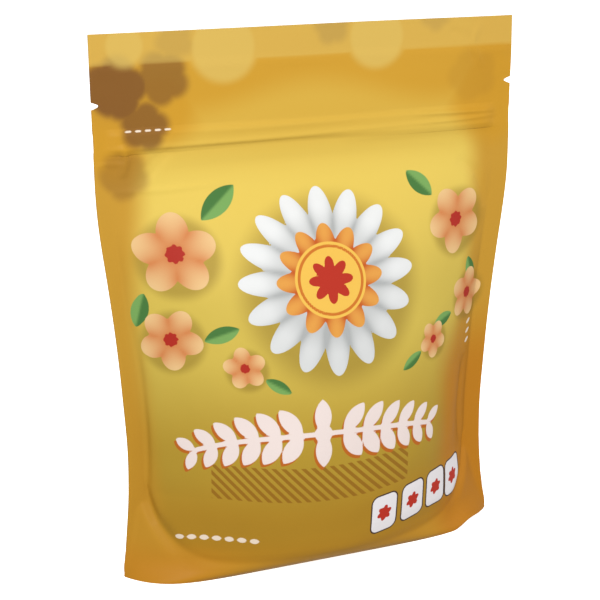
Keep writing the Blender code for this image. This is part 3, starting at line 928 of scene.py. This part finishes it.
def make_base_film():
    pair = (front_outer, back_outer * mirror)
    ways = (grid_normals(front_outer), grid_normals(back_outer) * mirror)
    reach = BASE_REACH * (HALF_WIDTH - seal_width(film_s[0]))
    columns = [c for c in range(COLUMNS) if abs(film_s[0, c]) < reach[c]]
    under = np.array([base_profile(c, pair, ways) for c in columns])
    upward = np.cross(fold_directions(under), np.gradient(under, axis=0))
    upward /= np.linalg.norm(upward, axis=2, keepdims=True)
    over = under - upward * FILM_WALL
    for edge in (0, -1):
        over[:, edge, 2] = under[:, edge, 2]
    rows, cols = under.shape[:2]
    low = np.arange(rows * cols).reshape(rows, cols)
    high = low + rows * cols
    faces = grid_faces(low) + grid_faces(high, turned=True)
    for edge_low, edge_high, back_way in (
        (low[0], high[0], False), (low[-1], high[-1], True),
        (low[:, 0], high[:, 0], True), (low[:, -1], high[:, -1], False),
    ):
        sides = np.stack([edge_low[:-1], edge_high[:-1], edge_high[1:], edge_low[1:]], axis=1)
        faces += (sides[:, ::-1] if back_way else sides).tolist()
    mesh = bpy.data.meshes.new("gusset_film")
    mesh.from_pydata(np.concatenate([under.reshape(-1, 3), over.reshape(-1, 3)]).tolist(), [], faces)
    mesh.shade_smooth()
    mesh.set_sharp_from_angle(angle=SHARP_ANGLE)
    return mesh


def base_film_material():
    made, tree, shader = new_material("printed film, base")
    place = texture_place(tree)
    cloud = add_node(tree, "ShaderNodeTexNoise", {"Vector": place, "Scale": 30.0, "Detail": 2.0})
    colour = blended(tree, cloud.outputs[0], paint(196, 134, 44), paint(180, 116, 36))
    film_finish(tree, shader, colour)
    return made


base_mesh = make_base_film()
gusset_film = placed("gusset_film", base_mesh)
base_mesh.materials.append(base_film_material())
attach(gusset_film, "root")
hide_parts("base_film")

# Zipper: two extruded strips of natural polyethylene, welded inside the faces. An arrow-shaped
# rib on the front one presses between two hooked lips on the back one.
def zipper_material():
    made, tree, shader = new_material("natural polyethylene")
    place = texture_place(tree)
    streak = add_node(tree, "ShaderNodeMapping", {"Vector": place, "Scale": (1.0, 30.0, 30.0)})
    wires = {"Vector": streak.outputs[0], "Scale": 60.0, "Detail": 3.0}
    haze = add_node(tree, "ShaderNodeTexNoise", wires).outputs[0]
    colour = blended(tree, haze, paint(238, 235, 224), paint(214, 210, 196))
    bump = add_node(tree, "ShaderNodeBump", {"Height": haze, "Strength": 0.2, "Distance": 0.0002})
    tree.links.new(colour, shader.inputs["Base Color"])
    tree.links.new(bump.outputs[0], shader.inputs["Normal"])
    shader.inputs["Roughness"].default_value = 0.42
    shader.inputs["Subsurface Weight"].default_value = 0.15
    shader.inputs["Subsurface Scale"].default_value = 0.001
    return made


polyethylene = zipper_material()
for strip in ("zipper_rib_strip", "zipper_groove_strip"):
    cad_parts[strip].data.materials.clear()
    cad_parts[strip].data.materials.append(polyethylene)

# Dried apricots: pitted whole fruit, pressed flat, with a leathery skin that shrinks into fine
# wrinkles. Each grows from its CAD solid, smoothed and then wrinkled by one Geometry Nodes tree.
WRINKLE_SIZE = 0.0042
WRINKLE_DEPTH = 0.0008
PUCKER_SIZE = 0.0014
PUCKER_SHARE = 0.35
SMOOTHING = 2
MERGE_DISTANCE = 0.00001


def wrinkle_tree():
    """Subdivide a fruit, sink its skin into wrinkles along the normals, and give it its skin."""
    tree = bpy.data.node_groups.new("wrinkled fruit", "GeometryNodeTree")
    for name, kind, way in (
        ("Geometry", "NodeSocketGeometry", "INPUT"),
        ("Smoothing", "NodeSocketInt", "INPUT"),
        ("Wrinkle size", "NodeSocketFloat", "INPUT"),
        ("Pucker size", "NodeSocketFloat", "INPUT"),
        ("Wrinkle depth", "NodeSocketFloat", "INPUT"),
        ("Seed", "NodeSocketFloat", "INPUT"),
        ("Skin", "NodeSocketMaterial", "INPUT"),
        ("Geometry", "NodeSocketGeometry", "OUTPUT"),
    ):
        tree.interface.new_socket(name, in_out=way, socket_type=kind)
    given = tree.nodes.new("NodeGroupInput").outputs
    wires = {0: given["Geometry"], 1: given["Smoothing"]}
    smooth = add_node(tree, "GeometryNodeSubdivisionSurface", wires)
    place = add_node(tree, "GeometryNodeInputPosition").outputs[0]
    depths = []
    for size, share in (("Wrinkle size", 1.0), ("Pucker size", PUCKER_SHARE)):
        scale = computed(tree, "DIVIDE", 1.0, given[size])
        wires = {"Vector": place, "W": given["Seed"], "Scale": scale, "Detail": 2.0}
        noise = add_node(tree, "ShaderNodeTexNoise", wires, noise_dimensions="4D").outputs[0]
        fold = computed(tree, "ABSOLUTE", computed(tree, "SUBTRACT", noise, 0.5))
        fold = computed(tree, "SUBTRACT", computed(tree, "MULTIPLY", fold, 4.0), 1.0)
        fold = computed(tree, "MINIMUM", fold, 0.0)
        depths.append(computed(tree, "MULTIPLY", fold, share))
    depth = computed(tree, "MULTIPLY", computed(tree, "ADD", *depths), given["Wrinkle depth"])
    normal = add_node(tree, "GeometryNodeInputNormal").outputs[0]
    wires = {0: normal, "Scale": depth}
    offset = add_node(tree, "ShaderNodeVectorMath", wires, operation="SCALE").outputs[0]
    wires = {"Geometry": smooth.outputs[0], "Offset": offset}
    sunk = add_node(tree, "GeometryNodeSetPosition", wires)
    shaded = add_node(tree, "GeometryNodeSetShadeSmooth", {0: sunk.outputs[0]})
    real = add_node(tree, "GeometryNodeRealizeInstances", {0: shaded.outputs[0]})
    wires = {"Geometry": real.outputs[0], "Material": given["Skin"]}
    skinned = add_node(tree, "GeometryNodeSetMaterial", wires)
    out = tree.nodes.new("NodeGroupOutput")
    tree.links.new(skinned.outputs[0], out.inputs[0])
    return tree


def fruit_material():
    made, tree, shader = new_material("dried apricot skin")
    place = texture_place(tree)
    patch = add_node(tree, "ShaderNodeTexNoise", {"Vector": place, "Scale": 70.0, "Detail": 4.0})
    fine = add_node(tree, "ShaderNodeTexNoise", {"Vector": place, "Scale": 900.0, "Detail": 3.0})
    share = stepped(tree, patch.outputs[0], 0.35, 0.65)
    colour = blended(tree, share, paint(214, 122, 44), paint(186, 84, 26))
    speck = stepped(tree, fine.outputs[0], 0.60, 0.75)
    colour = blended(tree, computed(tree, "MULTIPLY", speck, 0.4), colour, paint(232, 168, 96))
    wires = {"Height": fine.outputs[0], "Strength": 0.35, "Distance": 0.0003}
    bump = add_node(tree, "ShaderNodeBump", wires).outputs[0]
    tree.links.new(colour, shader.inputs["Base Color"])
    tree.links.new(bump, shader.inputs["Normal"])
    shader.inputs["Roughness"].default_value = 0.52
    shader.inputs["Subsurface Weight"].default_value = 0.12
    shader.inputs["Subsurface Radius"].default_value = (1.0, 0.4, 0.15)
    shader.inputs["Subsurface Scale"].default_value = 0.003
    return made


def merged_copy(source, name):
    """A CAD node's loose triangles, joined again, as a new object."""
    shape = bmesh.new()
    shape.from_mesh(source.data)
    bmesh.ops.remove_doubles(shape, verts=shape.verts, dist=MERGE_DISTANCE)
    mesh = bpy.data.meshes.new(name)
    shape.to_mesh(mesh)
    shape.free()
    mesh.materials.clear()
    return placed(name, mesh)


wrinkles = wrinkle_tree()
skin = fruit_material()
wrinkle_inputs = {
    item.name: item.identifier
    for item in wrinkles.interface.items_tree
    if item.in_out == "INPUT"
}
fruit_nodes = sorted(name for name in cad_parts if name.startswith("dried_apricot_"))
for number, node_name in enumerate(fruit_nodes):
    fruit = merged_copy(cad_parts[node_name], "wrinkled_" + node_name)
    grow = fruit.modifiers.new("wrinkles", "NODES")
    grow.node_group = wrinkles
    grow[wrinkle_inputs["Smoothing"]] = SMOOTHING
    grow[wrinkle_inputs["Wrinkle size"]] = WRINKLE_SIZE
    grow[wrinkle_inputs["Pucker size"]] = PUCKER_SIZE
    grow[wrinkle_inputs["Wrinkle depth"]] = WRINKLE_DEPTH
    grow[wrinkle_inputs["Seed"]] = float(number)
    grow[wrinkle_inputs["Skin"]] = skin
    ready = fruit.evaluated_get(bpy.context.evaluated_depsgraph_get())
    wrinkled = bpy.data.meshes.new_from_object(ready)
    fruit.modifiers.clear()
    fruit.data = wrinkled
    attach(fruit, "root")
    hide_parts(node_name)

# Studio: a white floor that glows a little, as a lit light table does, and a white wall far
# round it that lights nothing, under a dimmer white sky. A soft key lamp stands high on the
# left, a weaker one on the right, and one behind.
FLOOR_HALF = 6.0
floor_mesh = bpy.data.meshes.new("studio_floor")
floor_mesh.from_pydata(
    [(-FLOOR_HALF, -FLOOR_HALF, 0.0), (FLOOR_HALF, -FLOOR_HALF, 0.0),
     (FLOOR_HALF, FLOOR_HALF, 0.0), (-FLOOR_HALF, FLOOR_HALF, 0.0)],
    [],
    [(0, 1, 2, 3)],
)
studio_floor = placed("studio_floor", floor_mesh)
floor_finish, _, floor_shader = new_material("pale floor")
floor_shader.inputs["Base Color"].default_value = (0.90, 0.90, 0.90, 1.0)
floor_shader.inputs["Emission Color"].default_value = (1.0, 1.0, 1.0, 1.0)
floor_shader.inputs["Emission Strength"].default_value = 0.80
floor_shader.inputs["Roughness"].default_value = 0.9
floor_shader.inputs["Specular IOR Level"].default_value = 0.1
floor_mesh.materials.append(floor_finish)
studio_floor.visible_diffuse = False
studio_floor.visible_glossy = False

WALL_RADIUS = 5.9
WALL_HEIGHT = 3.0
WALL_SIDES = 48
ring = [
    (WALL_RADIUS * math.cos(turn), WALL_RADIUS * math.sin(turn))
    for turn in np.linspace(0.0, 2 * math.pi, WALL_SIDES, endpoint=False).tolist()
]
wall_mesh = bpy.data.meshes.new("studio_wall")
wall_sides = [(i, (i + 1) % WALL_SIDES) for i in range(WALL_SIDES)]
wall_mesh.from_pydata(
    [(x, y, 0.0) for x, y in ring] + [(x, y, WALL_HEIGHT) for x, y in ring],
    [],
    [(a, b, WALL_SIDES + b, WALL_SIDES + a) for a, b in wall_sides],
)
studio_wall = placed("studio_wall", wall_mesh)
wall_finish, _, wall_shader = new_material("white wall")
wall_shader.inputs["Base Color"].default_value = (0.0, 0.0, 0.0, 1.0)
wall_shader.inputs["Specular IOR Level"].default_value = 0.0
wall_shader.inputs["Emission Color"].default_value = (1.0, 1.0, 1.0, 1.0)
wall_shader.inputs["Emission Strength"].default_value = 1.0
wall_mesh.materials.append(wall_finish)
studio_wall.visible_diffuse = False
studio_wall.visible_glossy = False

sky = bpy.data.worlds.new("white sky")
bpy.context.scene.world = sky
sky.use_nodes = True
sky_light = sky.node_tree.nodes["Background"].inputs
sky_light["Color"].default_value = (1.0, 1.0, 1.0, 1.0)
sky_light["Strength"].default_value = 0.62

LAMP_AIM = (0.0, 0.0, 0.10)
for name, place, size, power in (
    ("key light", (-0.42, -0.92, 0.66), 0.4, 12.4),
    ("fill light", (0.85, -0.55, 0.35), 0.6, 2.4),
    ("back light", (0.40, 0.95, 0.80), 0.7, 6.0),
):
    lamp = bpy.data.lights.new(name, "AREA")
    lamp.size = size
    lamp.energy = power
    holder = placed(name, lamp)
    holder.location = place
    toward = Vector(LAMP_AIM) - Vector(place)
    holder.rotation_euler = toward.to_track_quat("-Z", "Y").to_euler()

# Camera: where the photograph was taken from, about 0.56 m away, round to the left and above.
CAMERA_AZIMUTH = math.radians(-22.9)
CAMERA_ELEVATION = math.radians(16.75)
CAMERA_PLACE = (-0.21546, -0.49795, 0.26334)
CAMERA_LENS = 90.0
lens = bpy.data.cameras.new("camera")
lens.lens = CAMERA_LENS
lens.sensor_width = 36.0
camera = placed("camera", lens)
camera.location = CAMERA_PLACE
camera.rotation_euler = (math.pi / 2 - CAMERA_ELEVATION, 0.0, CAMERA_AZIMUTH)
bpy.context.scene.camera = camera
bpy.context.scene.view_settings.view_transform = "Standard"
